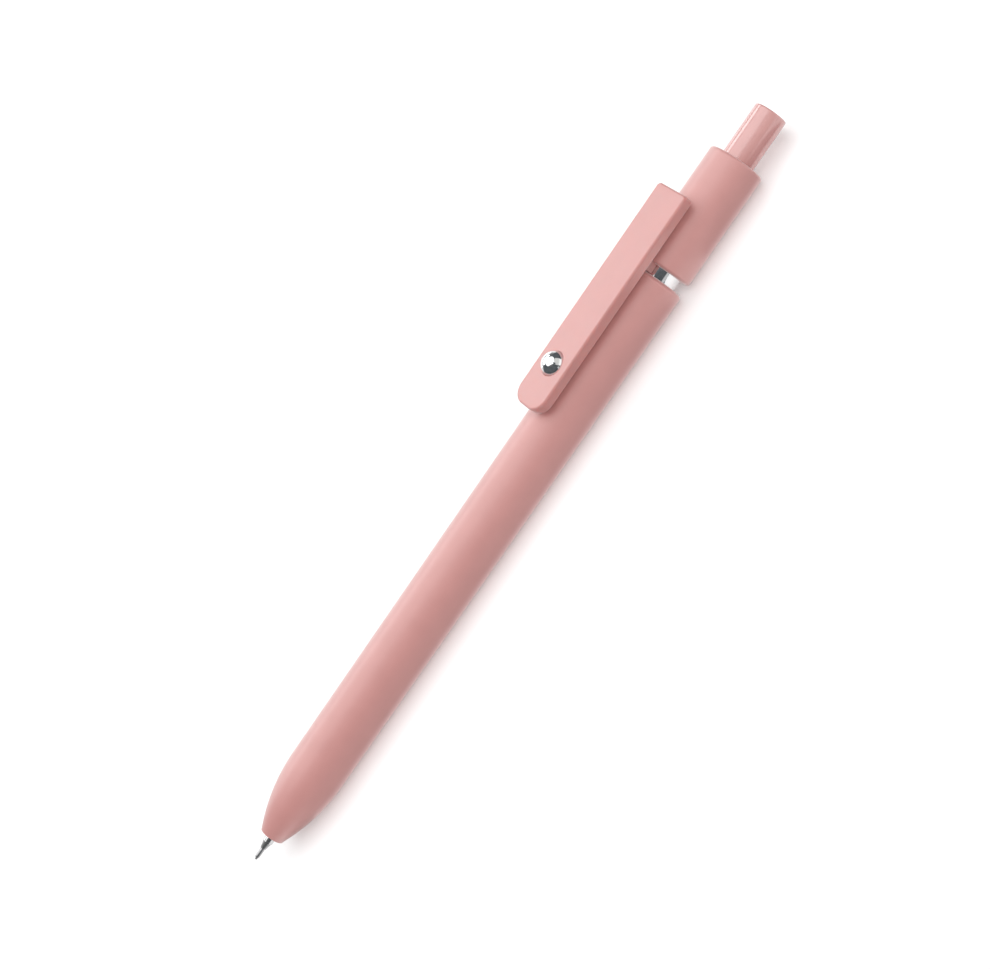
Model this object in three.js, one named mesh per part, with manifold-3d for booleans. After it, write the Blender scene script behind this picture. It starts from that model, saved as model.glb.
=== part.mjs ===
// Retractable gel pen with a ball clip, in millimetres.
//
// The pen lies along X with its button at +X and its clip on top, and its barrel touches Z = 0.
// Every X below is measured from the writing point, along the pen's own axis (Y = Z = 0 there).
// One group at the end moves that axis to its height above the table and centres the length.

import * as THREE from 'three';
import { mergeVertices } from 'three/addons/utils/BufferGeometryUtils.js';
import Module from 'manifold-3d';

const wasm = await Module();
wasm.setup();

// ---- Driving dimensions -------------------------------------------------------------------

const tipReach = 5.0; // writing tip standing out of the nose
const lowerBarrelLength = 111.6;
const barrelGap = 1.8; // the metal ring shows in this gap
const upperBarrelLength = 20.7;
const buttonReach = 9.4; // button standing out of the upper barrel

const barrelRadius = 5.0;
const upperRadiusLow = 4.93; // the upper barrel tapers slightly towards the button
const upperRadiusHigh = 4.86;
const noseRadius = 2.1;
const noseTaper = 14.0;
const noseCurve = 2.1; // exponent of the nose outline, close to a parabola

const retraction = 5.8; // tip travel from writing to stored
const overPress = 1.0; // extra push that frees the latch

const clipLength = 41.4;
const clipWidth = 7.8;
const clipThickness = 1.95;
const clipFaceHeight = 8.0; // outer face above the pen's axis
const clipUpperEnd = 129.5;
const clipLowerCorner = 2.7;
const clipUpperCorner = 0.7;
const clipEdge = 0.35;
const clipHinge = 115.4; // where the free arm starts to bend
const splitGap = 0.2;
const ballRadius = 2.3;
const ballFromClipEnd = 8.1;
const ballHoleRadius = 2.4;
const ballSeatRadius = 2.1; // the hole is narrower below and has a lip above, so the ball stays in
const ballLipRadius = 2.26;

const clipFootStart = 116.8; // the foot stands in the slot of the upper barrel
const clipFootEnd = 127.5;
const clipFootHalf = 1.7;

const ringRadius = 3.4;
const wallRadius = 3.45; // bore of the upper barrel
const slip = 0.05; // play between pieces that slide or push together
const refillRadius = 2.8;
const inkRadius = 2.3;
const refillEnd = 108.0;
const needleRadius = 0.4;
const shankRadius = 0.915; // round part of the tip that slides in the nose

// ---- Places along the axis that follow from them ------------------------------------------

const noseEnd = tipReach;
const lowerTop = noseEnd + lowerBarrelLength;
const upperBottom = lowerTop + barrelGap;
const upperTop = upperBottom + upperBarrelLength;
const overallLength = upperTop + buttonReach;
const clipLowerEnd = clipUpperEnd - clipLength;
const clipUnderside = clipFaceHeight - clipThickness;
const ballX = clipLowerEnd + ballFromClipEnd;
const ballHeight = barrelRadius + ballRadius + slip;
const holderFlange = 26.0;
const holderFlangeLength = 1.0;
const tubeStart = holderFlange + holderFlangeLength + slip;
const springSeat = 14.5;
const buttonBoreEnd = upperTop + 6.3;
const plungerPostEnd = buttonBoreEnd - 0.4;
const buttonCollar = 1.4; // narrow top of the upper barrel that keeps the button's flange inside
const buttonFlange = 0.55;
const buttonStart = upperTop - buttonCollar - retraction - slip - buttonFlange;
const sleeveTop = buttonStart - overPress - 0.2;

const fineSides = 32;
const innerSides = 24;

// ---- Shape helpers --------------------------------------------------------------------------

// Turns a closed outline of [x, radius] points about the pen's axis. The outline runs along
// the outside towards +X and comes back along the bore, or starts and ends on the axis.
function turned(outline, sides = innerSides) {
  const points = outline.map(([x, radius]) => new THREE.Vector2(radius, x));
  return new THREE.LatheGeometry(points, sides).rotateZ(-Math.PI / 2);
}

function ringOutline(outside, bore) {
  const outline = [...outside, ...bore];
  return [...outline, outline[0]];
}

function column(start, end, radius) {
  return turned([[start, 0], [start, radius], [end, radius], [end, 0]]);
}

function tube(start, end, outer, inner, edge = 0) {
  const outside = [[start, outer - edge], [start + edge, outer], [end - edge, outer], [end, outer - edge]];
  const plain = [[start, outer], [end, outer]];
  return ringOutline(edge > 0 ? outside : plain, [[end, inner], [start, inner]]);
}

// A quarter of an ellipse from a side wall to an end face, or back again.
function roundedRim(x, radius, along, across, towards, steps = 3) {
  const points = [];
  for (let i = 0; i <= steps; i += 1) {
    const angle = (Math.PI / 2) * (i / steps);
    const out = radius - across + across * Math.cos(angle);
    points.push([x - towards * along * (1 - Math.sin(angle)), out]);
  }
  return towards > 0 ? points : points.reverse();
}

function box(xRange, yRange, zRange) {
  const size = [xRange, yRange, zRange].map(([low, high]) => high - low);
  const middle = [xRange, yRange, zRange].map(([low, high]) => (high + low) / 2);
  return new THREE.BoxGeometry(...size).translate(...middle);
}

// A closed three.js geometry as a solid that can be cut or joined.
function solid(geometry) {
  const bare = geometry.clone();
  bare.deleteAttribute('normal');
  bare.deleteAttribute('uv');
  const merged = mergeVertices(bare, 1e-5);
  const index = Array.from(merged.index.array);
  const kept = [];
  for (let i = 0; i < index.length; i += 3) {
    const [a, b, c] = index.slice(i, i + 3);
    if (a !== b && b !== c && c !== a) kept.push(a, b, c);
  }
  return new wasm.Manifold(new wasm.Mesh({
    numProp: 3,
    vertProperties: new Float32Array(merged.attributes.position.array),
    triVerts: new Uint32Array(kept),
  }));
}

function geometryOf(body) {
  const mesh = body.getMesh();
  const geometry = new THREE.BufferGeometry();
  geometry.setAttribute('position', new THREE.BufferAttribute(new Float32Array(mesh.vertProperties), 3));
  geometry.setIndex(new THREE.BufferAttribute(new Uint32Array(mesh.triVerts), 1));
  geometry.computeVertexNormals();
  return geometry;
}

// ---- Barrels ----------------------------------------------------------------------------------

function noseOutline(steps = 10) {
  const points = [];
  for (let i = 1; i <= steps; i += 1) {
    const along = (i / steps) ** 1.4;
    const inset = (barrelRadius - noseRadius) * (1 - along) ** noseCurve;
    points.push([noseEnd + noseTaper * along, barrelRadius - inset]);
  }
  return points;
}

function lowerBarrel() {
  const tipBore = 1.05;
  const tipBoreEnd = 6.8;
  const holderBore = 1.75;
  const holderBoreStart = 9.0;
  const springBore = 2.5;
  const flangeBore = 3.0;
  const flangeBoreStart = holderFlange - overPress - 0.5;
  const flangeBoreEnd = 35.0;
  const threadBore = 3.8;
  const threadBoreStart = 38.0;
  const outside = [
    [noseEnd, noseRadius - 0.15],
    [noseEnd + 0.15, noseRadius + 0.05],
    ...noseOutline(),
    ...roundedRim(lowerTop, barrelRadius, 0.75, 1.1, 1),
  ];
  const bore = [
    [lowerTop, threadBore],
    [threadBoreStart, threadBore],
    [flangeBoreEnd, flangeBore],
    [flangeBoreStart, flangeBore],
    [flangeBoreStart, springBore],
    [springSeat, springBore],
    [springSeat, holderBore],
    [holderBoreStart, holderBore],
    [tipBoreEnd, tipBore],
    [noseEnd, tipBore],
  ];
  return turned(ringOutline(outside, bore), fineSides);
}

function upperBarrel() {
  const buttonBore = 3.0;
  const slotEnd = clipFootEnd + 0.2;
  const slotHalf = clipFootHalf + 0.08;
  const outside = [
    ...roundedRim(upperBottom, upperRadiusLow, 0.5, 0.9, -1),
    ...roundedRim(upperTop, upperRadiusHigh, 0.5, 0.5, 1),
  ];
  const bore = [
    [upperTop, buttonBore + 0.15],
    [upperTop - 0.15, buttonBore],
    [upperTop - buttonCollar, buttonBore],
    [upperTop - buttonCollar, wallRadius],
    [upperBottom, wallRadius],
  ];
  const shell = solid(turned(ringOutline(outside, bore), fineSides));
  const slot = box([upperBottom - 1, slotEnd], [-slotHalf, slotHalf], [1.0, upperRadiusLow + 1]);
  return geometryOf(shell.subtract(solid(slot)));
}

// ---- Clip -------------------------------------------------------------------------------------

function clipOutline() {
  const half = clipWidth / 2;
  const low = clipLowerEnd + clipLowerCorner;
  const lowSide = half - clipLowerCorner;
  const high = clipUpperEnd - clipUpperCorner;
  const highSide = half - clipUpperCorner;
  const shape = new THREE.Shape();
  shape.moveTo(low, -half);
  shape.lineTo(high, -half);
  shape.absarc(high, -highSide, clipUpperCorner, -Math.PI / 2, 0);
  shape.lineTo(clipUpperEnd, highSide);
  shape.absarc(high, highSide, clipUpperCorner, 0, Math.PI / 2);
  shape.lineTo(low, half);
  shape.absarc(low, lowSide, clipLowerCorner, Math.PI / 2, Math.PI);
  shape.lineTo(clipLowerEnd, -lowSide);
  shape.absarc(low, -lowSide, clipLowerCorner, Math.PI, 1.5 * Math.PI);
  return shape;
}

function clipBar() {
  const bar = new THREE.ExtrudeGeometry(clipOutline(), {
    depth: clipThickness - 2 * clipEdge,
    bevelThickness: clipEdge,
    bevelSize: clipEdge,
    bevelOffset: -clipEdge,
    bevelSegments: 2,
    curveSegments: 6,
  });
  return solid(bar.translate(0, 0, clipUnderside + clipEdge));
}

function clipPart(start, end) {
  const region = box([start, end], [-clipWidth, clipWidth], [0, 2 * clipFaceHeight]);
  return clipBar().intersect(solid(region));
}

function clipArm() {
  const seatTop = clipUnderside + 0.7;
  const lipStart = clipFaceHeight - 0.4;
  const lipTop = clipFaceHeight - 0.05;
  const cutTop = clipFaceHeight + 1;
  const hole = [
    [0, 0],
    [0, ballSeatRadius],
    [clipUnderside, ballSeatRadius],
    [seatTop, ballHoleRadius],
    [lipStart, ballHoleRadius],
    [lipTop, ballLipRadius],
    [cutTop, ballLipRadius],
    [cutTop, 0],
  ];
  const points = hole.map(([height, radius]) => new THREE.Vector2(radius, height));
  const cutter = new THREE.LatheGeometry(points, 32).rotateX(Math.PI / 2).translate(ballX, 0, 0);
  const arm = clipPart(clipLowerEnd - 1, clipHinge - splitGap / 2);
  return geometryOf(arm.subtract(solid(cutter)));
}

// The foot is hollowed along its underside, so that it stands astride the metal ring.
function clipBase() {
  const hollow = ringRadius + 0.1;
  const heights = [2.3, clipUnderside + 0.8];
  const foot = solid(box([clipFootStart, clipFootEnd], [-clipFootHalf, clipFootHalf], heights));
  const core = solid(column(clipFootStart - 1, clipFootEnd + 1, hollow));
  const bar = clipPart(clipHinge + splitGap / 2, clipUpperEnd + 1);
  return geometryOf(bar.add(foot).subtract(core));
}

function clipBall() {
  return new THREE.SphereGeometry(ballRadius, 24, 16).translate(ballX, 0, ballHeight);
}

// ---- Joint between the barrels ----------------------------------------------------------------

const skirtStart = 107.0;
const flangeTop = lowerTop - 1.0;
const connectorTop = 121.0;

function threadedConnector() {
  const stemBore = 1.75;
  const stemRadius = 2.7;
  const skirtBore = refillRadius + 0.15;
  const threadRoot = 3.45;
  const threadCrest = 3.7;
  const pitch = 1.25;
  const threads = 5;
  const outside = [[skirtStart, threadRoot - 0.2], [skirtStart + 0.2, threadRoot]];
  for (let i = 0; i < threads; i += 1) {
    const start = skirtStart + 1.0 + i * pitch;
    outside.push([start, threadRoot], [start + 0.35, threadCrest], [start + 0.6, threadCrest]);
    outside.push([start + 0.95, threadRoot]);
  }
  outside.push([flangeTop - 1.0, threadRoot], [flangeTop - 1.0, threadCrest], [flangeTop, threadCrest]);
  outside.push([flangeTop, stemRadius], [connectorTop, stemRadius]);
  const bore = [
    [connectorTop, stemBore],
    [flangeTop - 0.6, stemBore],
    [flangeTop - 0.6, skirtBore],
    [skirtStart, skirtBore],
  ];
  return turned(ringOutline(outside, bore));
}

function metalRing() {
  const bore = 2.75;
  return turned(tube(flangeTop + slip, connectorTop - 0.1, ringRadius, bore, 0.1));
}

// ---- Push mechanism ---------------------------------------------------------------------------

const camBore = 2.45;
const rotorStart = 123.5;
const rotorTop = 127.0;
const crownStart = rotorTop + 0.3;
const plungerPost = 1.85;

function camSleeve() {
  const guideHalf = 0.6;
  const guideDepth = 3.0;
  const reach = wallRadius + 1;
  const sleeve = solid(turned(tube(connectorTop + 0.2, sleeveTop, ringRadius, camBore)));
  const along = [sleeveTop - guideDepth, sleeveTop + 1];
  const upright = solid(box(along, [-guideHalf, guideHalf], [-reach, reach]));
  const level = solid(box(along, [-reach, reach], [-guideHalf, guideHalf]));
  return geometryOf(sleeve.subtract(upright).subtract(level));
}

function rotorFin() {
  const half = 0.5;
  const ramp = new THREE.Shape();
  ramp.moveTo(rotorStart + 0.2, -half);
  ramp.lineTo(rotorTop - 0.9, -half);
  ramp.lineTo(rotorTop - 0.1, half);
  ramp.lineTo(rotorStart + 0.2, half);
  ramp.closePath();
  const root = 1.0;
  const fin = new THREE.ExtrudeGeometry(ramp, { depth: camBore - 0.08 - root, bevelEnabled: false });
  return fin.translate(0, 0, root);
}

function rotor() {
  const fins = 4;
  const stemStart = refillEnd + 0.9;
  const stem = 1.5;
  const head = 1.9;
  let body = solid(turned([
    [stemStart, 0],
    [stemStart, stem - 0.2],
    [stemStart + 0.2, stem],
    [rotorStart, stem],
    [rotorStart, head],
    [rotorTop, head],
    [rotorTop, 0],
  ]));
  for (let i = 0; i < fins; i += 1) {
    const fin = rotorFin().rotateX((2 * Math.PI * i) / fins + Math.PI / 4);
    body = body.add(solid(fin));
  }
  return geometryOf(body);
}

function camPlunger() {
  const crownRadius = camBore - 0.1;
  const crownEnd = buttonStart - 0.6;
  const toothSize = 1.1;
  const outline = [
    [crownStart, 0],
    [crownStart, crownRadius],
    [crownEnd, crownRadius],
    [crownEnd, plungerPost],
    [plungerPostEnd - 0.3, plungerPost],
    [plungerPostEnd, plungerPost - 0.3],
    [plungerPostEnd, 0],
  ];
  const bar = new THREE.BoxGeometry(toothSize, 4 * crownRadius, toothSize);
  const notch = bar.rotateY(Math.PI / 4).translate(crownStart, 0, 0);
  const body = solid(turned(outline)).subtract(solid(notch));
  return geometryOf(body.subtract(solid(notch.clone().rotateX(Math.PI / 2))));
}

function pushButton() {
  const radius = 2.88;
  const flange = 3.1;
  const bore = plungerPost + slip;
  return turned([
    [buttonBoreEnd, 0],
    [buttonBoreEnd, bore],
    [buttonStart, bore],
    [buttonStart, flange],
    [buttonStart + buttonFlange, flange],
    [buttonStart + buttonFlange, radius],
    ...roundedRim(overallLength, radius, 0.25, 0.25, 1, 3),
    [overallLength, 0],
  ], fineSides);
}

// ---- Return spring ----------------------------------------------------------------------------

class Helix extends THREE.Curve {
  constructor(start, end, radius, turns) {
    super();
    Object.assign(this, { start, end, radius, turns });
  }

  getPoint(t, target = new THREE.Vector3()) {
    const angle = 2 * Math.PI * this.turns * t;
    const x = this.start + (this.end - this.start) * t;
    return target.set(x, this.radius * Math.cos(angle), this.radius * Math.sin(angle));
  }
}

function returnSpring() {
  const wire = 0.2;
  const coil = 2.1;
  const turns = 9;
  const seatPlay = wire + 0.1;
  const path = new Helix(springSeat + seatPlay, holderFlange - seatPlay, coil, turns);
  const section = new THREE.Shape().absarc(0, 0, wire, 0, 2 * Math.PI);
  return new THREE.ExtrudeGeometry(section, { steps: turns * 12, extrudePath: path, curveSegments: 3 });
}

// ---- Refill -----------------------------------------------------------------------------------

const holderFront = 9.8;
const tipSocketEnd = 12.7;
const plugEnd = 31.0;
const inkEnd = 88.0;
const followerEnd = 94.0;

function tipHolder() {
  const stem = 1.5;
  const outside = [
    [holderFront, stem - 0.25],
    [holderFront + 0.4, stem],
    [holderFlange, stem],
    [holderFlange, refillRadius],
    [holderFlange + holderFlangeLength, refillRadius],
    [holderFlange + holderFlangeLength, inkRadius - slip],
    [plugEnd, inkRadius - slip],
  ];
  const inkWay = 0.7;
  const socket = 1.2;
  const bore = [[plugEnd, inkWay], [tipSocketEnd, inkWay], [tipSocketEnd, socket], [holderFront, socket]];
  return turned(ringOutline(outside, bore));
}

function tipBody() {
  const coneStart = 2.3;
  const coneEnd = 3.65;
  const shoulder = 8.7;
  const plug = 1.15;
  const end = tipSocketEnd - 0.2;
  const needleSeatEnd = 4.7;
  const needleSeat = needleRadius + 0.03;
  const inkWay = 0.25;
  const outside = [
    [coneStart, 0.5],
    [coneEnd, 0.78],
    [coneEnd, 0.86],
    [coneEnd + 0.07, shankRadius],
    [shoulder, shankRadius],
    [shoulder + 0.1, plug],
    [end, plug],
  ];
  const bore = [[end, inkWay], [needleSeatEnd, inkWay], [needleSeatEnd, needleSeat], [coneStart, needleSeat]];
  return turned(ringOutline(outside, bore));
}

const pointRadius = 0.25;

function needleTube() {
  const start = 0.4;
  const end = 4.6;
  const bore = 0.22;
  const outside = [[start, 0.28], [start + 0.15, needleRadius], [end, needleRadius]];
  return turned(ringOutline(outside, [[end, bore], [start, bore]]), 16);
}

function writingBall() {
  return new THREE.SphereGeometry(pointRadius, 12, 8).translate(pointRadius, 0, 0);
}

function refillTube() {
  return turned(tube(tubeStart, refillEnd, refillRadius, inkRadius));
}

function refillEndPlug() {
  const depth = 3.5;
  const flange = refillRadius - 0.05;
  const fit = inkRadius - slip;
  const vent = 0.4;
  const outside = [
    [refillEnd - depth, fit - 0.2],
    [refillEnd - depth + 0.3, fit],
    [refillEnd + slip, fit],
    [refillEnd + slip, flange],
    [refillEnd + 0.6, flange],
  ];
  return turned(ringOutline(outside, [[refillEnd + 0.6, vent], [refillEnd - depth, vent]]));
}

// ---- Assembly ---------------------------------------------------------------------------------

const softPink = { color: 0xd09a95, roughness: 0.62, metalness: 0.0 };
const glossPink = { color: 0xd09a95, roughness: 0.22, metalness: 0.0 };
const chrome = { color: 0xd8dadd, roughness: 0.08, metalness: 1.0 };
const steel = { color: 0xb9bbbe, roughness: 0.25, metalness: 1.0 };
const springSteel = { color: 0x9a9ca0, roughness: 0.3, metalness: 1.0 };
const whitePlastic = { color: 0xe9e7e3, roughness: 0.45, metalness: 0.0 };
const clearPlastic = { color: 0xe4e6e8, roughness: 0.2, metalness: 0.0 };
const blackGel = { color: 0x101014, roughness: 0.3, metalness: 0.0 };
const grease = { color: 0xd9d2b8, roughness: 0.3, metalness: 0.0 };

const pen = new THREE.Group();
pen.position.set(-overallLength / 2, 0, barrelRadius);

function piece(name, geometry, look) {
  const mesh = new THREE.Mesh(geometry, new THREE.MeshStandardMaterial(look));
  mesh.name = name;
  pen.add(mesh);
}

piece('lower_barrel', lowerBarrel(), softPink);
piece('upper_barrel', upperBarrel(), softPink);
piece('clip_base', clipBase(), softPink);
piece('clip_arm', clipArm(), softPink);
piece('clip_ball', clipBall(), chrome);
piece('metal_ring', metalRing(), chrome);
piece('threaded_connector', threadedConnector(), whitePlastic);
piece('cam_sleeve', camSleeve(), whitePlastic);
piece('rotor', rotor(), whitePlastic);
piece('cam_plunger', camPlunger(), whitePlastic);
piece('push_button', pushButton(), glossPink);
piece('return_spring', returnSpring(), springSteel);
piece('tip_holder', tipHolder(), whitePlastic);
piece('tip_body', tipBody(), steel);
piece('needle_tube', needleTube(), steel);
piece('writing_ball', writingBall(), steel);
piece('refill_tube', refillTube(), clearPlastic);
piece('refill_end_plug', refillEndPlug(), whitePlastic);
piece('gel_ink', column(plugEnd + 0.1, inkEnd, inkRadius - slip), blackGel);
piece('ink_follower', column(inkEnd + 0.1, followerEnd, inkRadius - slip), grease);

const object = new THREE.Group();
object.add(pen);

export default object;
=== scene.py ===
"""Looks for the retractable gel pen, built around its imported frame. Everything is in metres."""

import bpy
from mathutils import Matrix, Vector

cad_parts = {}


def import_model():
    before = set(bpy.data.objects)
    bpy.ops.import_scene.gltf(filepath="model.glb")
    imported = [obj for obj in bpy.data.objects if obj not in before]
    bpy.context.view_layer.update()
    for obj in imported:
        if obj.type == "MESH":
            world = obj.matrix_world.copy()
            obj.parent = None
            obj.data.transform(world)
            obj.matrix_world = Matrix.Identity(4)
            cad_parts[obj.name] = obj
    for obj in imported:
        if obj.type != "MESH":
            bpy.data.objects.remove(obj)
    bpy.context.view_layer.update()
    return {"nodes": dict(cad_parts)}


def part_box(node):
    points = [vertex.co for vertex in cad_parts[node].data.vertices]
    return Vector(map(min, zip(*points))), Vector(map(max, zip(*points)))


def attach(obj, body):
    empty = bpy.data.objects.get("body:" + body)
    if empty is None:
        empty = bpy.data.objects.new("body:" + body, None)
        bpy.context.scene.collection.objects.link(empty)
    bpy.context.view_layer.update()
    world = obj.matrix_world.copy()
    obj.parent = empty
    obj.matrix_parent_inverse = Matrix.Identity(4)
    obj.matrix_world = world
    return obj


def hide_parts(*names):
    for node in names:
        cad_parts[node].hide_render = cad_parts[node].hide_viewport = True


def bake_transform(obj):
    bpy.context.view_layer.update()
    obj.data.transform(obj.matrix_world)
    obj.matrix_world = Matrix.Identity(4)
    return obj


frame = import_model()

import math

import bmesh
import bpy
from mathutils import Matrix, Vector

MM = 0.001
TINY = 1e-9
FULL_TURN = 2 * math.pi
BOXES = {node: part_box(node) for node in frame["nodes"]}


# ---- Places read from the frame ---------------------------------------------------------------


def start(node):
    return BOXES[node][0].x


def end(node):
    return BOXES[node][1].x


def radius(node):
    """Half of a round node's width across the pen."""
    return (BOXES[node][1].y - BOXES[node][0].y) / 2


POINT = start("writing_ball")
AXIS_Z = (BOXES["lower_barrel"][0].z + BOXES["lower_barrel"][1].z) / 2
BARREL_RADIUS = radius("lower_barrel")
NOSE = start("lower_barrel")
LOWER_TOP = end("lower_barrel")
CLIP_FACE_Z = BOXES["clip_base"][1].z
CLIP_UNDER_Z = BOXES["clip_arm"][0].z
CLIP_START = start("clip_arm")
CLIP_END = end("clip_base")
CLIP_HALF_WIDTH = radius("clip_arm")
BALL_CENTRE = (BOXES["clip_ball"][0] + BOXES["clip_ball"][1]) / 2


def along(mm):
    """A place on the pen's axis, given in millimetres from the writing point."""
    return POINT + mm * MM


# The clip's foot is part of clip_base, so its own size can't be read from the frame.
FOOT_START = along(116.8)
FOOT_END = along(127.5)
FOOT_HALF = 1.7 * MM
SLOT_HALF = FOOT_HALF + 0.08 * MM


# ---- Mesh helpers -----------------------------------------------------------------------------


def arc(before, corner, after, fillet, steps):
    """The points of a fillet that rounds one corner of an outline.

    It takes less than half of each side, so that neighbouring fillets never meet."""
    to_before, to_after = before - corner, after - corner
    half = to_before.angle(to_after) / 2
    room = 0.49 * min(to_before.length, to_after.length)
    reach = min(fillet / math.tan(half), room)
    size = reach * math.tan(half)
    bisector = (to_before.normalized() + to_after.normalized()).normalized()
    centre = corner + bisector * size / math.sin(half)
    first = corner + to_before.normalized() * reach - centre
    last = corner + to_after.normalized() * reach - centre
    turn = -first.angle_signed(last) / steps
    return [centre + Matrix.Rotation(turn * i, 2) @ first for i in range(steps + 1)]


def rounded(outline, closed, steps=5):
    """An outline of (x, radius) or (x, radius, fillet) in metres, with its fillets drawn in.

    A fillet that isn't small gets twice the steps."""
    small = 0.4 * MM
    points = [Vector(p[:2]) for p in outline]
    result = []
    for i, item in enumerate(outline):
        at_end = i in (0, len(outline) - 1) and not closed
        if len(item) < 3 or item[2] == 0 or at_end:
            result.append(points[i])
            continue
        before, after = points[i - 1], points[(i + 1) % len(points)]
        count = steps if item[2] < small else 2 * steps
        result.extend(arc(before, points[i], after, item[2], count))
    return result


def finish_mesh(bm, name, sharp=35):
    """Turns a bmesh into a smooth-shaded object whose edges above a given angle stay sharp."""
    bmesh.ops.recalc_face_normals(bm, faces=bm.faces)
    mesh = bpy.data.meshes.new(name)
    bm.to_mesh(mesh)
    bm.free()
    mesh.shade_smooth()
    mesh.set_sharp_from_angle(angle=math.radians(sharp))
    obj = bpy.data.objects.new(name, mesh)
    bpy.context.scene.collection.objects.link(obj)
    return obj


def lathe(name, outline, sides=96, closed=True, shift=None, centre=None, upright=False):
    """Turns an outline about the pen's axis, or about a vertical line through centre if upright.

    shift(x, angle) is added to each point's radius, for a thread or for ribs."""
    bm = bmesh.new()
    centre = centre or Vector((0, 0, AXIS_Z))
    rings = []
    for x, r in rounded(outline, closed):
        ring = []
        on_axis = r < TINY
        for k in range(1 if on_axis else sides):
            angle = FULL_TURN * k / sides
            size = r + (shift(x, angle) if shift and not on_axis else 0)
            across = (size * math.cos(angle), size * math.sin(angle))
            spot = (*across, x) if upright else (x, *across)
            ring.append(bm.verts.new(centre + Vector(spot)))
        rings.append(ring)
    pairs = list(zip(rings, rings[1:]))
    if closed:
        pairs.append((rings[-1], rings[0]))
    for one, two in pairs:
        for k in range(sides):
            corners = [one[k % len(one)], one[(k + 1) % len(one)]]
            corners += [two[(k + 1) % len(two)], two[k % len(two)]]
            unique = list(dict.fromkeys(corners))
            if len(unique) > 2:
                bm.faces.new(unique)
    return finish_mesh(bm, name)


def rim(x, size, along_rim, across_rim, towards, steps=14):
    """A quarter of an ellipse from a round side to an end face; towards is 1 at the +X end, else -1."""
    points = []
    for i in range(steps + 1):
        angle = math.pi / 2 * i / steps
        inset = across_rim * (1 - math.cos(angle))
        points.append((x - towards * along_rim * (1 - math.sin(angle)), size - inset))
    return points if towards > 0 else points[::-1]


def mm_outline(*points):
    """An outline written as millimetres from the writing point, radius and fillet."""
    return [(along(p[0]), p[1] * MM, *(f * MM for f in p[2:])) for p in points]


def block(name, low, high):
    """A plain box between two corners, used only to cut other pieces or to be joined to them."""
    bm = bmesh.new()
    bmesh.ops.create_cube(bm, size=1)
    for v in bm.verts:
        v.co = Vector(a + (b - a) * (c + 0.5) for a, b, c in zip(low, high, v.co))
    return finish_mesh(bm, name)


def boolean(obj, tool, operation="DIFFERENCE"):
    """Cuts obj with tool, or joins them, and removes the tool."""
    modifier = obj.modifiers.new("cut", "BOOLEAN")
    modifier.operation = operation
    modifier.solver = "EXACT"
    modifier.object = tool
    bpy.context.view_layer.update()
    evaluated = obj.evaluated_get(bpy.context.evaluated_depsgraph_get())
    mesh = bpy.data.meshes.new_from_object(evaluated)
    obj.modifiers.clear()
    obj.data = mesh
    bpy.data.objects.remove(tool)
    return obj


def reshaded(obj, sharp=35):
    """Sets the smooth and sharp edges again after cuts, and keeps large flat faces flat."""
    obj.data.shade_smooth()
    obj.data.set_sharp_from_angle(angle=math.radians(sharp))
    weighted = obj.modifiers.new("flat_faces", "WEIGHTED_NORMAL")
    weighted.keep_sharp = True
    return obj


def sweep(name, points, frames, size, sides=14):
    """A round wire of one size along points, with the two cross directions given for each point."""
    bm = bmesh.new()
    rings = []
    for point, (one, two) in zip(points, frames):
        ring = []
        for k in range(sides):
            angle = FULL_TURN * k / sides
            out = one * math.cos(angle) + two * math.sin(angle)
            ring.append(bm.verts.new(point + size * out))
        rings.append(ring)
    for one, two in zip(rings, rings[1:]):
        for k in range(sides):
            bm.faces.new([one[k], one[(k + 1) % sides], two[(k + 1) % sides], two[k]])
    bm.faces.new(rings[0])
    bm.faces.new(rings[-1])
    return finish_mesh(bm, name)


# ---- Material helpers -------------------------------------------------------------------------


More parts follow.
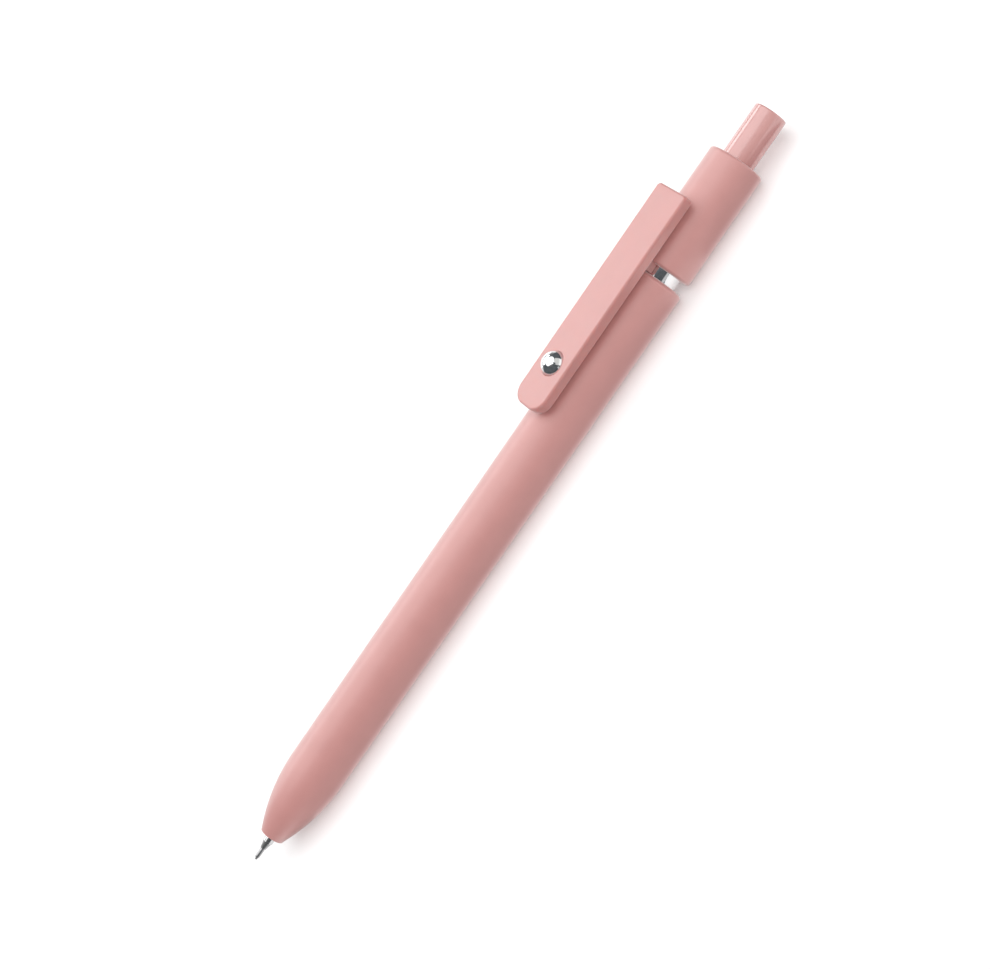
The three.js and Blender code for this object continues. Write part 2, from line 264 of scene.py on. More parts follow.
class Look:
    """A Principled material with procedural colour, gloss and bump."""

    def __init__(self, name, **values):
        self.material = bpy.data.materials.new(name)
        self.material.use_nodes = True
        self.tree = self.material.node_tree
        self.shader = self.tree.nodes["Principled BSDF"]
        self.coordinates = self.tree.nodes.new("ShaderNodeTexCoord").outputs["Object"]
        self.normal = None
        for key, value in values.items():
            self.shader.inputs[key.replace("_", " ")].default_value = value

    def node(self, kind, **inputs):
        made = self.tree.nodes.new(kind)
        for key, value in inputs.items():
            made.inputs[key].default_value = value
        return made

    def link(self, output, socket):
        self.tree.links.new(output, socket)

    def stretched(self, scale):
        mapping = self.node("ShaderNodeMapping")
        mapping.inputs["Scale"].default_value = scale
        self.link(self.coordinates, mapping.inputs["Vector"])
        return mapping.outputs["Vector"]

    def noise(self, scale, detail=3.0, roughness=0.55, stretch=None):
        """Noise whose scale is in features per metre."""
        made = self.node("ShaderNodeTexNoise", Scale=scale, Detail=detail, Roughness=roughness)
        self.link(self.stretched(stretch) if stretch else self.coordinates, made.inputs["Vector"])
        return made.outputs["Fac"]

    def ramp(self, factor, low, high, stops=(0.3, 0.7)):
        """Two colours, or two grey values, spread over part of a factor's range."""
        made = self.tree.nodes.new("ShaderNodeValToRGB")
        for element, stop, colour in zip(made.color_ramp.elements, stops, (low, high)):
            element.position = stop
            element.color = (*colour, 1) if hasattr(colour, "__len__") else (colour,) * 3 + (1,)
        self.link(factor, made.inputs["Fac"])
        return made.outputs["Color"]

    def colour(self, factor, low, high, stops=(0.3, 0.7)):
        self.link(self.ramp(factor, low, high, stops), self.shader.inputs["Base Color"])

    def gloss(self, factor, low, high, stops=(0.3, 0.7)):
        self.link(self.ramp(factor, low, high, stops), self.shader.inputs["Roughness"])

    def bump(self, height, strength, distance):
        made = self.node("ShaderNodeBump", Strength=strength, Distance=distance)
        self.link(height, made.inputs["Height"])
        if self.normal:
            self.link(self.normal, made.inputs["Normal"])
        self.normal = made.outputs["Normal"]
        self.link(self.normal, self.shader.inputs["Normal"])


# ---- Materials --------------------------------------------------------------------------------


def soft_touch_pink():
    """Matt rubbery lacquer: fine grain, a little velvet sheen and very faint mottling."""
    look = Look(
        "soft_touch_pink",
        Specular_IOR_Level=0.8,
        Sheen_Weight=0.55,
        Sheen_Roughness=0.4,
        Coat_Weight=0.6,
        Coat_Roughness=0.4,
        Coat_IOR=1.6,
    )
    look.colour(look.noise(260, 4), (0.503, 0.224, 0.208), (0.528, 0.237, 0.220))
    look.gloss(look.noise(5200, 2), 0.44, 0.54)
    look.bump(look.noise(1400, 2), 0.05, 0.00004)
    look.bump(look.noise(11000, 3), 0.16, 0.00001)
    return look.material


def clip_pink():
    """Satin moulded plastic, smoother than the barrels, with a little light scattered inside it."""
    look = Look(
        "clip_pink",
        Specular_IOR_Level=1.0,
        Sheen_Weight=0.4,
        Sheen_Roughness=0.4,
        Subsurface_Weight=0.6,
        Subsurface_Radius=(1.0, 0.3, 0.22),
        Subsurface_Scale=0.5 * MM,
    )
    look.colour(look.noise(220, 3), (0.488, 0.212, 0.196), (0.512, 0.224, 0.207))
    look.gloss(look.noise(4000, 2), 0.35, 0.42)
    look.bump(look.noise(9000, 3), 0.10, 0.00001)
    return look.material


def gloss_pink():
    """Polished plastic of the button, with a faint moulding ripple and hairline handling marks."""
    look = Look("gloss_pink", Specular_IOR_Level=1.0, Coat_Weight=0.7, Coat_Roughness=0.2, Coat_IOR=1.8)
    look.colour(look.noise(300, 3), (0.505, 0.230, 0.214), (0.530, 0.243, 0.226))
    look.gloss(look.noise(2600, 4, 0.6, (0.15, 1, 1)), 0.20, 0.28)
    look.bump(look.noise(700, 2), 0.05, 0.00003)
    return look.material


def chrome():
    """Bright plating with faint polishing haze."""
    look = Look("chrome", Metallic=1.0)
    look.colour(look.noise(900, 3), (0.80, 0.81, 0.82), (0.88, 0.885, 0.89))
    look.gloss(look.noise(3500, 5, 0.65), 0.035, 0.085)
    look.bump(look.noise(16000, 3), 0.02, 0.000004)
    return look.material


def turned_steel(name, low, high, gloss=(0.16, 0.30)):
    """Stainless steel with fine turning rings around the pen's axis."""
    look = Look(name, Metallic=1.0)
    rings = look.noise(9000, 3, 0.6, (1, 0.04, 0.04))
    look.colour(look.noise(1500, 3), low, (high, high, high * 1.01))
    look.gloss(rings, *gloss)
    look.bump(rings, 0.12, 0.000006)
    return look.material


def moulded_white():
    """Natural white engineering plastic with a fine spark-eroded texture."""
    look = Look("moulded_white", Specular_IOR_Level=0.45)
    look.colour(look.noise(500, 3), (0.70, 0.69, 0.66), (0.78, 0.77, 0.745))
    look.gloss(look.noise(3000, 3), 0.36, 0.50)
    look.bump(look.noise(8000, 3), 0.15, 0.00001)
    return look.material


def clear_tube():
    """Frosted polypropylene refill tube."""
    look = Look("clear_tube", IOR=1.49, Transmission_Weight=0.92)
    look.colour(look.noise(300, 2), (0.90, 0.92, 0.93), (0.95, 0.96, 0.96))
    look.gloss(look.noise(1800, 3, 0.6, (0.1, 1, 1)), 0.10, 0.22)
    look.bump(look.noise(900, 3, 0.6, (0.05, 1, 1)), 0.06, 0.00002)
    return look.material


def black_gel():
    look = Look("black_gel", Specular_IOR_Level=0.6)
    look.colour(look.noise(400, 4), (0.006, 0.006, 0.008), (0.014, 0.014, 0.018))
    look.gloss(look.noise(800, 3), 0.12, 0.28)
    return look.material


def follower_grease():
    look = Look("follower_grease", IOR=1.45, Transmission_Weight=0.7)
    look.colour(look.noise(500, 3), (0.80, 0.76, 0.62), (0.88, 0.85, 0.74))
    look.gloss(look.noise(1200, 3), 0.15, 0.35)
    return look.material


def pale_floor():
    """A plain pale tabletop."""
    look = Look("pale_floor", Specular_IOR_Level=0.2)
    look.colour(look.noise(12, 3), 0.84, 0.86)
    look.gloss(look.noise(90, 3), 0.55, 0.65)
    return look.material


def dark_cloth():
    """Matt dark grey cloth of the studio's screens."""
    look = Look("dark_cloth", Specular_IOR_Level=0.1)
    look.colour(look.noise(40, 3), (0.075, 0.082, 0.088), (0.13, 0.14, 0.148), (0.35, 0.65))
    look.gloss(look.noise(90, 2), 0.8, 0.9)
    return look.material


DARK_CLOTH = dark_cloth()
SOFT_PINK = soft_touch_pink()
CLIP_PINK = clip_pink()
GLOSS_PINK = gloss_pink()
CHROME = chrome()
STEEL = turned_steel("turned_steel", 0.60, 0.70)
# Same steel as the turned steel, but rougher and darker. The rougher finish is real. The darker colour
# is painted shade: it stands in for the dark surroundings reflected in the tip's cone, needle and ball.
SHADED_DULL_STEEL = turned_steel("shaded_dull_steel", 0.42, 0.52, gloss=(0.32, 0.46))
SPRING_STEEL = turned_steel("spring_steel", 0.46, 0.56)
WHITE = moulded_white()
CLEAR = clear_tube()
BLACK_GEL = black_gel()
GREASE = follower_grease()


def place(obj, body, slot, material, *nodes):
    """Gives a piece its material and its body, and hides the nodes that it stands for. The slot is not
    used.
    """
    obj.data.materials.clear()
    obj.data.materials.append(material)
    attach(obj, body)
    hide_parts(*nodes)


# ---- Barrels ----------------------------------------------------------------------------------


def nose_curve(steps=48):
    """The nose outline from its end face to the full barrel, close to a parabola."""
    nose_radius, taper, exponent = 2.1 * MM, 14.0 * MM, 2.1
    crowding = 1.4  # above 1, the points lie closer together near the tip
    points = []
    for i in range(1, steps + 1):
        share = (i / steps) ** crowding
        inset = (BARREL_RADIUS - nose_radius) * (1 - share) ** exponent
        points.append((NOSE + taper * share, BARREL_RADIUS - inset))
    return points


def lower_barrel():
    bore = mm_outline(
        (38.0, 3.8),
        (35.0, 3.0),
        (24.5, 3.0),
        (24.5, 2.5),
        (14.5, 2.5),
        (14.5, 1.75),
        (9.0, 1.75),
        (6.8, 1.05),
    )
    outline = [
        (NOSE, 1.05 * MM, 0.08 * MM),
        (NOSE, 2.16 * MM, 0.22 * MM),
        *nose_curve(),
        *rim(LOWER_TOP, BARREL_RADIUS, 0.75 * MM, 1.1 * MM, 1),
        (LOWER_TOP, 3.8 * MM, 0.05 * MM),
        *bore,
    ]
    place(lathe("barrel_lower", outline, 160), "lower_body", "soft_pink", SOFT_PINK, "lower_barrel")


def upper_barrel():
    low, top = start("upper_barrel"), end("upper_barrel")
    low_radius = radius("upper_barrel")
    top_radius = low_radius - 0.07 * MM
    collar_end, button_bore = top - 1.4 * MM, 3.0 * MM
    wall = radius("metal_ring") + 0.05 * MM
    outline = [
        (low, wall, 0.08 * MM),
        *rim(low, low_radius, 0.5 * MM, 0.9 * MM, -1),
        *rim(top, top_radius, 0.5 * MM, 0.5 * MM, 1),
        (top, button_bore, 0.14 * MM),
        (collar_end, button_bore),
        (collar_end, wall),
    ]
    shell = lathe("barrel_upper", outline, 160)
    slot = block(
        "slot_cutter",
        (low - MM, -SLOT_HALF, AXIS_Z + MM),
        (FOOT_END + 0.2 * MM, SLOT_HALF, AXIS_Z + BARREL_RADIUS + MM),
    )
    reshaded(boolean(shell, slot))
    place(shell, "upper_body", "soft_pink", SOFT_PINK, "upper_barrel")


# ---- Clip -------------------------------------------------------------------------------------


def bar_outline():
    """The bar seen from above: wide round corners at its free end and small ones at the other."""
    half, wide, small = CLIP_HALF_WIDTH, 2.7 * MM, 0.7 * MM
    corners = [
        (CLIP_START, -half, wide),
        (CLIP_END, -half, small),
        (CLIP_END, half, small),
        (CLIP_START, half, wide),
    ]
    return rounded(corners, closed=True, steps=9)


def bar_mesh(edge=0.42 * MM):
    bm = bmesh.new()
    low = [bm.verts.new((x, y, CLIP_UNDER_Z)) for x, y in bar_outline()]
    face = bm.faces.new(low)
    raised = bmesh.ops.extrude_face_region(bm, geom=[face])["geom"]
    for v in raised:
        if isinstance(v, bmesh.types.BMVert):
            v.co.z = CLIP_FACE_Z
    rims = [e for e in bm.edges if abs(e.verts[0].co.z - e.verts[1].co.z) < TINY]
    bmesh.ops.bevel(bm, geom=rims, offset=edge, segments=6, profile=0.5, affect="EDGES")
    return finish_mesh(bm, "clip_bar")


def ball_hole():
    """Cuts the ball's seat: narrow below, full width inside, with a lip that keeps the ball in."""
    low, face = CLIP_UNDER_Z, CLIP_FACE_Z
    ball = radius("clip_ball")
    seat, bore = ball - 0.2 * MM, ball + 0.1 * MM
    lip = math.sqrt(ball ** 2 - (face - BALL_CENTRE.z) ** 2) + 0.05 * MM
    outline = [
        (low - MM, 0),
        (low - MM, seat),
        (low, seat),
        (low + 0.7 * MM, bore, 0.2 * MM),
        (face - 0.4 * MM, bore, 0.1 * MM),
        (face - 0.07 * MM, lip),
        (face - 0.02 * MM, lip + 0.02 * MM),
        (face, lip + 0.07 * MM),
        (face + MM, lip + 1.07 * MM),
        (face + MM, 0),
    ]
    centre = Vector((BALL_CENTRE.x, 0, 0))
    return lathe("hole_cutter", outline, 96, closed=False, centre=centre, upright=True)


def clip_foot():
    """The foot under the bar: it stands in the barrel's slot and is hollowed around the metal ring."""
    low_z, high_z = AXIS_Z + 2.3 * MM, CLIP_UNDER_Z + 0.6 * MM
    foot = block("foot", (FOOT_START, -FOOT_HALF, low_z), (FOOT_END, FOOT_HALF, high_z))
    hollow = radius("metal_ring") + 0.1 * MM
    cut_start, cut_end = FOOT_START - MM, FOOT_END + MM
    core = [(cut_start, 0), (cut_start, hollow), (cut_end, hollow), (cut_end, 0)]
    return boolean(foot, lathe("core_cutter", core, 96, closed=False))


def split_across(obj, first, last, count):
    """Adds edge loops across the bar between two places along X, so that it can bend there."""
    bm = bmesh.new()
    bm.from_mesh(obj.data)
    for i in range(count):
        x = first + (last - first) * i / (count - 1)
        geometry = [*bm.verts, *bm.edges, *bm.faces]
        bmesh.ops.bisect_plane(bm, geom=geometry, dist=1e-8, plane_co=(x, 0, 0), plane_no=(1, 0, 0))
    bm.to_mesh(obj.data)
    bm.free()


def clip():
    bend_start, bend_end, loops = along(116.5), along(104.5), 25
    bar = boolean(bar_mesh(), clip_foot(), "UNION")
    boolean(bar, ball_hole())
    split_across(bar, bend_start, bend_end, loops)
    bar.name = "clip"
    reshaded(bar, sharp=40)
    bar.data.materials.clear()
    bar.data.materials.append(CLIP_PINK)
    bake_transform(bar)
    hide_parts("clip_base", "clip_arm")


def clip_ball(cuts=26):
    """A polished steel ball, as a cube's grid pushed out to the sphere so that no pole shows."""
    bm = bmesh.new()
    bmesh.ops.create_cube(bm, size=2)
    bmesh.ops.subdivide_edges(bm, edges=bm.edges, cuts=cuts, use_grid_fill=True)
    size = radius("clip_ball")
    for v in bm.verts:
        warped = Vector(math.tan(c * math.pi / 4) for c in v.co)
        v.co = BALL_CENTRE + warped.normalized() * size
    place(finish_mesh(bm, "ball"), "clip_ball", "chrome", CHROME, "clip_ball")


# ---- Joint between the barrels ----------------------------------------------------------------


def thread(x, angle):
    """How far the connector's single-start thread stands out at one point."""
    first, last, pitch, depth = along(107.6), along(114.0), 1.25 * MM, 0.25 * MM
    crest, flank = 2.2, 7
    fade = max(0.0, min(1.0, (x - first) / MM, (last - x) / MM))
    phase = ((x - first) / pitch - angle / FULL_TURN) % 1
    ridge = max(0.0, min(1.0, crest - abs(phase - 0.5) * flank))
    return depth * fade * ridge


def connector():
    skirt, inset, core, steps = start("threaded_connector"), 0.2 * MM, 3.45 * MM, 64
    length = along(114.2) - skirt - inset
    threaded = [(skirt + inset + length * i / steps, core) for i in range(steps + 1)]
    outline = [
        (skirt, 2.95 * MM, 0.1 * MM),
        (skirt, 3.3 * MM),
        *threaded,
        *mm_outline(
            (114.6, 3.45, 0.1),
            (114.6, 3.7, 0.06),
            (115.6, 3.7, 0.1),
            (115.6, 2.7),
            (121, 2.7, 0.1),
            (121, 1.75, 0.1),
            (115.0, 1.75, 0.1),
            (115.0, 2.95, 0.1),
        ),
    ]
    made = lathe("connector", outline, 120, shift=thread)
    place(made, "upper_body", "white_plastic", WHITE, "threaded_connector")


def metal_ring():
    low, high = start("metal_ring"), end("metal_ring")
    size, bore = radius("metal_ring"), 2.75 * MM
    outline = [
        (low, bore, 0.03 * MM),
        (low, size, 0.12 * MM),
        (high, size, 0.12 * MM),
        (high, bore, 0.03 * MM),
    ]
    place(lathe("ring", outline, 128), "upper_body", "chrome", CHROME, "metal_ring")


# ---- Push mechanism ---------------------------------------------------------------------------


def push_button():
    low, top, flange = start("push_button"), end("push_button"), radius("push_button")
    size, bore = 2.88 * MM, 1.9 * MM
    bore_end, flange_end = along(145.4), low + 0.55 * MM
    outline = [
        (bore_end, 0),
        (bore_end, bore, 0.2 * MM),
        (low, bore, 0.1 * MM),
        (low, flange, 0.1 * MM),
        (flange_end, flange, 0.05 * MM),
        (flange_end, size),
        (top, size, 0.3 * MM),
        (top, size - 0.9 * MM),
        (top - 0.012 * MM, size - 1.5 * MM),
        (top - 0.02 * MM, 0),
    ]
    place(lathe("button", outline, 128, closed=False), "button", "gloss_pink", GLOSS_PINK, "push_button")


def cam_sleeve():
    low, top, size, bore = start("cam_sleeve"), end("cam_sleeve"), radius("cam_sleeve"), 2.45 * MM
    outline = [
        (low, bore, 0.08 * MM),
        (low, size, 0.15 * MM),
        (top, size, 0.15 * MM),
        (top, bore, 0.08 * MM),
    ]
    sleeve = lathe("sleeve", outline, 96)
    half, reach, depth = 0.6 * MM, 4 * MM, 3 * MM
    low, high = top - depth, top + MM
    boolean(sleeve, block("cut_a", (low, -half, AXIS_Z - reach), (high, half, AXIS_Z + reach)))
    boolean(sleeve, block("cut_b", (low, -reach, AXIS_Z - half), (high, reach, AXIS_Z + half)))
    place(reshaded(sleeve), "upper_body", "white_plastic", WHITE, "cam_sleeve")


def fin(x, angle):
    """Four slanting fins around the rotor's head."""
    first, last, height = along(123.7), along(126.9), 0.47 * MM
    fins, slant, half_share = 4, 0.85 * MM, 0.2
    share = (angle / FULL_TURN * fins + 0.5) % 1
    top = last - slant + slant * share
    inside = first <= x <= top and abs(share - 0.5) < half_share
    return height if inside else 0


def rotor():
    low, top = start("rotor"), end("rotor")
    shoulder, stem, core, steps = along(123.5), 1.5 * MM, 1.9 * MM, 22
    head = [(shoulder + (top - shoulder) * i / steps, core) for i in range(steps + 1)]
    outline = [
        (low, 0),
        (low, stem, 0.2 * MM),
        (shoulder, stem),
        *head,
        (top, 0),
    ]
    made = lathe("rotor_cam", outline, 120, closed=False, shift=fin)
    place(made, "rotor", "white_plastic", WHITE, "rotor")


def cam_plunger():
    """The plunger in the button, with a crown of pointed teeth on its lower face."""
    low, top = start("cam_plunger"), end("cam_plunger")
    crown_end, steps = start("push_button") - 0.6 * MM, 10
    crown_radius, post_radius = 2.35 * MM, 1.85 * MM
    teeth, tooth_depth, tooth_root, end_band = 8, 0.8 * MM, 1.4 * MM, 0.1 * MM
    crown = [(low + (crown_end - low) * i / steps, crown_radius) for i in range(steps + 1)]
    outline = [
        (low, 0),
        *crown,
        (crown_end, post_radius, 0.1 * MM),
        (top, post_radius, 0.3 * MM),
        (top, 0),
    ]
    made = lathe("plunger", outline, 96, closed=False)
    for v in made.data.vertices:
        across = Vector((v.co.y, v.co.z - AXIS_Z))
        if across.length > tooth_root and v.co.x < low + end_band:
            phase = (math.atan2(across.y, across.x) / FULL_TURN * teeth) % 1
            v.co.x += tooth_depth * abs(phase - 0.5) * 2
    place(made, "button", "white_plastic", WHITE, "cam_plunger")


# ---- Return spring ----------------------------------------------------------------------------


def spring_rise(share, turns, wire, length):
    """Distance along the spring at a share of its turns: closed end coils, open ones between."""
    closed = 1 / turns
    end_rise = 2.1 * wire
    if share < closed:
        return end_rise * share / closed
    if share > 1 - closed:
        return length - end_rise * (1 - share) / closed
    return end_rise + (length - 2 * end_rise) * (share - closed) / (1 - 2 * closed)


def return_spring(turns=9, steps_per_turn=36):
    wire, coil = 0.2 * MM, 2.1 * MM
    low, high = start("return_spring") + wire, end("return_spring") - wire
    points, frames = [], []
    for i in range(turns * steps_per_turn + 1):
        share = i / (turns * steps_per_turn)
        angle = FULL_TURN * turns * share
        out = Vector((0, math.cos(angle), math.sin(angle)))
        x = low + spring_rise(share, turns, wire, high - low)
        points.append(Vector((x, 0, AXIS_Z)) + out * coil)
        frames.append((out, Vector((1, 0, 0))))
    spring = sweep("spring", points, frames, wire)
    spring.data.materials.append(SPRING_STEEL)
    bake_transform(spring)
    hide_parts("return_spring")


# ---- Refill -----------------------------------------------------------------------------------


def refill_piece(name, points, slot, material, node, sides=96, closed=True):
    place(lathe(name, mm_outline(*points), sides, closed), "refill", slot, material, node)


def refill_tube():
    low, high = start("refill_tube"), end("refill_tube")
    size, bore = 2.8 * MM, 2.3 * MM
    outline = [
        (low, bore, 0.05 * MM),
        (low, size, 0.08 * MM),
        (high, size, 0.08 * MM),
        (high, bore, 0.05 * MM),
    ]
    place(lathe("tube", outline, 96), "refill", "clear_plastic", CLEAR, "refill_tube")


def meniscus(centre_mm, dip_mm, radius_mm=2.25, steps=8):
    """The curved end of a column of ink or grease, from the wall to the axis."""
    rows = []
    for i in range(steps + 1):
        share = 1 - i / steps
        rows.append((centre_mm + dip_mm * share * share, radius_mm * share))
    return rows


def refill_contents():
    ink_start, ink_end, follower_end = 31.1, 88.0, 94.0
    ink_dip, follower_dip, gap = 0.6, 0.9, 0.1
    ink = [(ink_start, 0), (ink_start, 2.25, 0.05), *meniscus(ink_end - ink_dip, ink_dip)]
    refill_piece("ink", ink, "black_gel", BLACK_GEL, "gel_ink", closed=False)
    lower_face = reversed(meniscus(ink_end - ink_dip + gap, ink_dip))
    follower = [*lower_face, *meniscus(follower_end - follower_dip, follower_dip)]
    refill_piece("grease", follower, "grease", GREASE, "ink_follower", closed=False)


def tip_holder():
    points = [
        (9.8, 1.2, 0.05),
        (9.8, 1.5, 0.25),
        (17.0, 1.5),
        (17.15, 1.42),
        (17.6, 1.42),
        (17.75, 1.5),
        (26.0, 1.5, 0.1),
        (26.0, 2.8, 0.15),
        (27.0, 2.8, 0.05),
        (27.0, 2.25),
        (31.0, 2.25, 0.2),
        (31.0, 0.7, 0.1),
        (12.7, 0.7),
        (12.7, 1.2),
    ]
    refill_piece("holder", points, "white_plastic", WHITE, "tip_holder")


def tip_body():
    points = [
        (2.3, 0.43, 0.01),
        (2.3, 0.50, 0.04),
        (3.62, 0.79, 0.03),
        (3.66, 0.80),
        (3.66, 0.915, 0.05),
        (8.6, 0.915),
        (8.8, 1.15, 0.05),
        (12.5, 1.15, 0.1),
        (12.5, 0.25, 0.05),
        (4.7, 0.25),
        (4.7, 0.43),
    ]
    refill_piece("tip", points, "steel", STEEL, "tip_body")
    # The cone and everything before it take the darker steel, whose darker colour is painted shade.
    tip, cone_end = bpy.data.objects["tip"].data, along(3.67)
    tip.materials.append(SHADED_DULL_STEEL)
    for face in tip.polygons:
        if face.center.x < cone_end:
            face.material_index = 1


def needle():
    """The needle pipe with its end rolled in around the ball."""
    points = [
        (0.40, 0.235, 0.01),
        (0.40, 0.27),
        (0.47, 0.33),
        (0.58, 0.38),
        (0.75, 0.40, 0.1),
        (4.6, 0.40, 0.03),
        (4.6, 0.22),
        (0.62, 0.26),
    ]
    # The needle is in the darker steel, whose darker colour is painted shade.
    refill_piece("needle", points, "steel", SHADED_DULL_STEEL, "needle_tube", sides=64)


def writing_ball(rings=20):
    size = 0.25
    turns = [math.pi * i / rings for i in range(rings + 1)]
    half_circle = [(size - size * math.cos(turn), size * math.sin(turn)) for turn in turns]
    # The writing ball is in the darker steel, whose darker colour is painted shade.
    refill_piece("point_ball", half_circle, "steel", SHADED_DULL_STEEL, "writing_ball", sides=40, closed=False)


def refill_end_plug():
    points = [
        (104.5, 0.4, 0.1),
        (104.5, 2.05, 0.1),
        (104.9, 2.25),
        (108.05, 2.25),
        (108.05, 2.75, 0.05),
        (108.6, 2.75, 0.12),
        (108.6, 0.4, 0.15),
    ]
    refill_piece("end_plug", points, "white_plastic", WHITE, "refill_end_plug")


# ---- Stage, light and camera ------------------------------------------------------------------


def floor():
    reach, segments, sink = 3.0, 12, 0.00002
    bm = bmesh.new()
    bmesh.ops.create_grid(bm, x_segments=segments, y_segments=segments, size=reach)
    table = finish_mesh(bm, "floor")
    table.location.z = -sink
    table.data.materials.append(pale_floor())


def area_light(name, location, size, power, colour=(1, 1, 1), shadow=True, in_diffuse=True):
    """A rectangular light that faces the pen's middle.

    Without shadow, nothing blocks it. Without in_diffuse, it adds highlights but no diffuse light."""
    data = bpy.data.lights.new(name, "AREA")
    data.shape = "RECTANGLE"
    data.size, data.size_y = size
    data.energy = power
    data.color = colour
    data.use_shadow = shadow
    light = bpy.data.objects.new(name, data)
    light.location = location
    light.rotation_euler = (Vector((0, 0, AXIS_Z)) - light.location).to_track_quat("-Z", "Y").to_euler()
    light.visible_diffuse = in_diffuse
    bpy.context.scene.collection.objects.link(light)


def world():
    """A bright horizon under a dim ceiling."""
    made = bpy.data.worlds.new("studio")
    made.use_nodes = True
    tree = made.node_tree
    direction = tree.nodes.new("ShaderNodeTexCoord").outputs["Generated"]
    parts = tree.nodes.new("ShaderNodeSeparateXYZ")
    ramp = tree.nodes.new("ShaderNodeValToRGB")
    for element, stop, level in zip(ramp.color_ramp.elements, (0.16, 0.34), (0.60, 0.2)):
        element.position = stop
        element.color = (level, level, level, 1)
    tree.links.new(direction, parts.inputs["Vector"])
    tree.links.new(parts.outputs["Z"], ramp.inputs["Fac"])
    tree.links.new(ramp.outputs["Color"], tree.nodes["Background"].inputs["Color"])
    bpy.context.scene.world = made


def dark_wall(name, middle, spread, low, high, strip_start=None, reach=0.9, centre=(0, 0, 0)):
    """One bay of the dark studio wall, which shows only in reflections. Angles are in degrees.

    middle and spread are its bearing and width, counted from -Y towards +X, and low and high its
    elevations. reach is its distance from centre. With strip_start, a dark strip lies on the floor
    from that distance out to the wall."""
    bm = bmesh.new()
    columns, rows, lift = 16, 8, 0.0006
    base = Vector(centre) + Vector((0, 0, lift))
    grid = []
    for i in range(columns + 1):
        turn = math.radians(middle + spread * (i / columns - 0.5))
        out = Vector((math.sin(turn), -math.cos(turn), 0))
        column = []
        if strip_start:
            column += [base + out * strip_start, base + out * reach]
        for j in range(rows + 1):
            rise = math.radians(low + (high - low) * j / rows)
            column.append(base + reach * (out * math.cos(rise) + Vector((0, 0, math.sin(rise)))))
        grid.append([bm.verts.new(spot) for spot in column])
    for one, two in zip(grid, grid[1:]):
        for j in range(len(one) - 1):
            bm.faces.new([one[j], two[j], two[j + 1], one[j + 1]])
    dark_screen(finish_mesh(bm, name))


def dark_runner(name, start_x, end_x, near_y=-0.005):
    """A dark strip of floor along the front of the pen, which shows only in reflections."""
    far_y, z = -0.12, 0.0007
    corners = [(start_x, far_y), (end_x, far_y), (end_x, near_y), (start_x, near_y)]
    bm = bmesh.new()
    bm.faces.new([bm.verts.new((x, y, z)) for x, y in corners])
    dark_screen(finish_mesh(bm, name))


def dark_screen(screen):
    """Dark cloth that shows in reflections and does nothing else."""
    screen.data.materials.append(DARK_CLOTH)
    screen.visible_camera = False
    screen.visible_diffuse = False
    screen.visible_shadow = False
    screen.visible_transmission = False


def dark_screens():
    """Dark bays, a flag near the ring and strips of floor, all for the reflections.

    They leave openings low in front, for the ring, and on the right, for a card of light."""
    dark_wall("dark_wall_front_left", -27, 46, 1, 52, strip_start=0.06)
    dark_wall("dark_wall_front", 3, 14, 12, 52)
    dark_wall("dark_wall_front_right", 16, 12, 1, 52, strip_start=0.06)
    dark_wall("dark_wall_tip", -90, 80, 1, 56, strip_start=0.084)
    dark_wall("dark_wall_button", 100, 60, 1, 56, strip_start=0.12)
    dark_wall("dark_flag", 1, 16, 43, 70, reach=0.12, centre=(along(117.5), 0, AXIS_Z))
    dark_runner("dark_runner_nose", along(3.5), along(11), near_y=0.004)
    dark_runner("dark_runner_lower", along(11), along(115))
    dark_runner("dark_runner_upper", along(124), along(149))


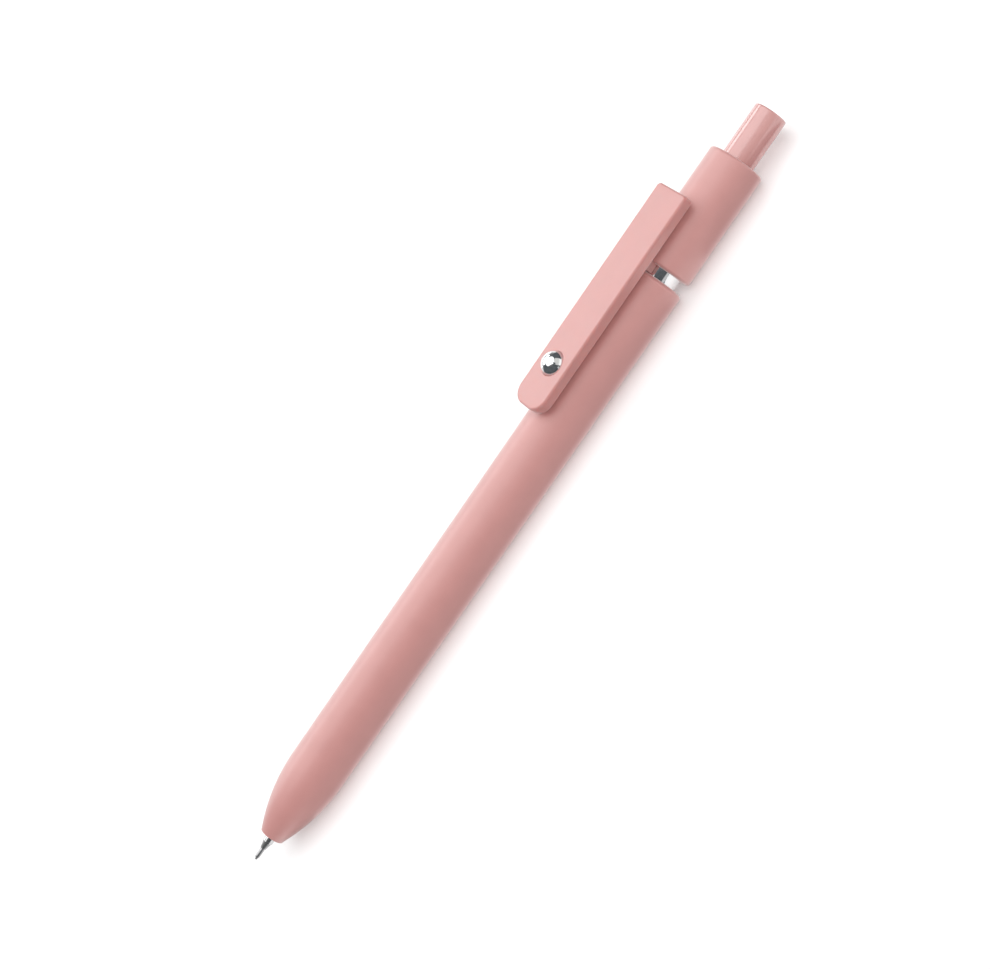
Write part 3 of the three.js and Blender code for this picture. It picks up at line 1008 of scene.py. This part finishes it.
def soft_sun(name, towards, energy, spread):
    """A very soft distant light that shines towards a direction; spread is its angle in degrees.

    It makes no highlight, so the pen's gloss comes from the other lights only."""
    data = bpy.data.lights.new(name, "SUN")
    data.energy = energy
    data.angle = math.radians(spread)
    light = bpy.data.objects.new(name, data)
    light.visible_glossy = False
    light.rotation_euler = Vector(towards).to_track_quat("-Z", "Y").to_euler()
    bpy.context.scene.collection.objects.link(light)


def lights():
    """A softbox overhead, a key in front, two shadowless lights behind and a card of light."""
    area_light("overhead", (0.05, 0.07, 0.72), (1.05, 0.88), 4.9)
    soft_sun("front_key", (-0.1, 0.68, -0.73), 1.38, 40)
    area_light("far_side", (-0.05, 0.62, 0.50), (0.9, 0.24), 2.7, shadow=False)
    area_light("far_low", (-0.05, 0.80, 0.13), (1.1, 0.2), 1.1, shadow=False)
    area_light("button_side", (0.34, -0.34, 0.23), (0.56, 0.50), 0.46, (1, 0.98, 0.94), in_diffuse=False)


def camera():
    """The viewing angle: from the side and above, looking at the pen's middle from nearer its top."""
    elevation = math.radians(41)
    distance = 0.312
    foot_x = 0.0318
    aim_x, aim_offset = 0.0002, 0.00256
    pen_angle = math.radians(55.40)
    towards = Vector((0, -math.cos(elevation), math.sin(elevation)))
    away_up = Vector((0, math.sin(elevation), math.cos(elevation)))
    centre = Vector((aim_x, 0, AXIS_Z))
    location = Vector((foot_x, 0, AXIS_Z)) + towards * distance
    forward = (centre + away_up * aim_offset - location).normalized()
    level = (Vector((1, 0, 0)) - forward * forward.x).normalized()
    upright = level.cross(forward)
    right = level * math.cos(pen_angle) - upright * math.sin(pen_angle)
    up = level * math.sin(pen_angle) + upright * math.cos(pen_angle)
    data = bpy.data.cameras.new("camera")
    data.lens = 70.0
    data.sensor_width = 36.0
    data.clip_start, data.clip_end = 0.01, 10
    made = bpy.data.objects.new("camera", data)
    turn = Matrix((right, up, -forward)).transposed().to_4x4()
    made.matrix_world = Matrix.Translation(location) @ turn
    bpy.context.scene.collection.objects.link(made)
    bpy.context.scene.camera = made


lower_barrel()
upper_barrel()
clip()
clip_ball()
metal_ring()
connector()
cam_sleeve()
rotor()
cam_plunger()
push_button()
return_spring()
refill_tube()
refill_contents()
tip_holder()
tip_body()
needle()
writing_ball()
refill_end_plug()
floor()
dark_screens()
world()
lights()
camera()
bpy.context.scene.view_settings.view_transform = "Standard"
